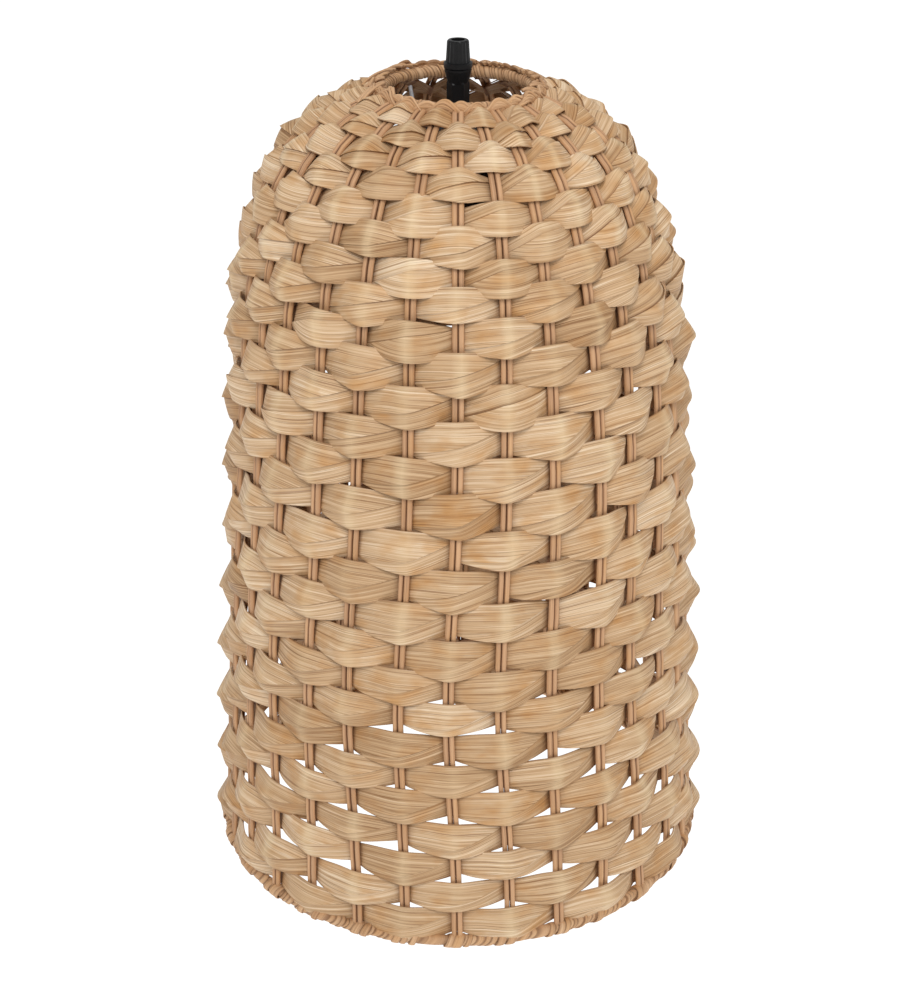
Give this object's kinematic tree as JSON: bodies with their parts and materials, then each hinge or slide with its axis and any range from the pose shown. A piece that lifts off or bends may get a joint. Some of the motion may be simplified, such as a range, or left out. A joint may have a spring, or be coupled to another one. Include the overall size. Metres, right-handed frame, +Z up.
{
  "type": "woven pendant lamp shade",
  "caption": "Bell-shaped open-bottomed pendant lamp shade of folded leaf strips woven on cane stakes, held by a wire spider on a lampholder with a ribbed cord grip.",
  "frame": {"origin": "where the flex enters the top of the cord grip, on the lamp's axis; the lamp hangs below it", "axes": "+Z up along the lamp's axis, -Y the front as pictured, +X to the right"},
  "size_m": [0.2912, 0.2928, 0.4799],
  "materials": {
    "woven_leaf": "dry folded leaf strips, fibrous, satin on the crowns",
    "split_cane": "peeled cane, fine lengthwise grain, satin",
    "cane_binding": "thin cane wound closely over the rings",
    "frame_wire": "plain drawn wire, light grey",
    "black_plastic": "moulded, fine matte",
    "porcelain": "unglazed white",
    "brass": "rolled and pressed"
  },
  "bodies": {
    "holder": {"cord_grip_collet": "black_plastic", "cord_grip_body": "black_plastic", "lampholder_cap": "black_plastic", "contact_insulator": "porcelain", "screw_shell": "brass", "live_terminal": "brass", "live_terminal_screw": "brass", "neutral_terminal": "brass", "neutral_terminal_screw": "brass"},
    "grip_nut": {"cord_grip_nut": "black_plastic"},
    "barrel": {"lampholder_barrel": "black_plastic"},
    "clamp_ring": {"shade_clamp_ring": "black_plastic"},
    "shade": {"weaver_row_01": "woven_leaf", "weaver_row_02": "woven_leaf", "weaver_row_03": "woven_leaf", "weaver_row_04": "woven_leaf", "weaver_row_05": "woven_leaf", "weaver_row_06": "woven_leaf", "weaver_row_07": "woven_leaf", "weaver_row_08": "woven_leaf", "weaver_row_09": "woven_leaf", "weaver_row_10": "woven_leaf", "weaver_row_11": "woven_leaf", "weaver_row_12": "woven_leaf", "weaver_row_13": "woven_leaf", "weaver_row_14": "woven_leaf", "weaver_row_15": "woven_leaf", "weaver_row_16": "woven_leaf", "weaver_row_17": "woven_leaf", "weaver_row_18": "woven_leaf", "weaver_row_19": "woven_leaf", "weaver_row_20": "woven_leaf", "weaver_row_21": "woven_leaf", "weaver_row_22": "woven_leaf", "weaver_row_23": "woven_leaf", "weaver_row_24": "woven_leaf", "weaver_row_25": "woven_leaf", "weaver_row_26": "woven_leaf", "weaver_row_27": "woven_leaf", "stake_group_01": "split_cane", "stake_group_02": "split_cane", "stake_group_03": "split_cane", "stake_group_04": "split_cane", "stake_group_05": "split_cane", "stake_group_06": "split_cane", "stake_group_07": "split_cane", "stake_group_08": "split_cane", "stake_group_09": "split_cane", "stake_group_10": "split_cane", "bottom_ring_wire": "frame_wire", "top_ring_wire": "frame_wire", "bottom_rim_binding": "cane_binding", "top_rim_binding": "cane_binding", "drop_arm_1": "frame_wire", "drop_arm_2": "frame_wire", "drop_arm_3": "frame_wire", "spider_ring": "frame_wire"},
    "contact": {"centre_contact": "brass"}
  },
  "joints": [
    {"name": "grip_nut_turn", "type": "hinge", "parent": "holder", "child": "grip_nut", "pos_m": [0, 0, -0.007], "axis": [0, 0, 1], "range_deg": [0, 540]},
    {"name": "barrel_unscrew", "type": "hinge", "parent": "holder", "child": "barrel", "pos_m": [0, 0, -0.057], "axis": [0, 0, 1], "range_deg": [-540, 0]},
    {"name": "clamp_ring_turn", "type": "hinge", "parent": "barrel", "child": "clamp_ring", "pos_m": [0, 0, -0.082], "axis": [0, 0, 1], "range_deg": [-720, 0]},
    {"name": "shade_swivel", "type": "hinge", "parent": "barrel", "child": "shade", "pos_m": [0, 0, -0.078], "axis": [0, 0, 1], "continuous": true},
    {"name": "contact_press", "type": "slide", "parent": "holder", "child": "contact", "axis": [0, 0, 1], "range_m": [0, 0.0015], "stiffness_N_per_m": 1500}
  ]
}
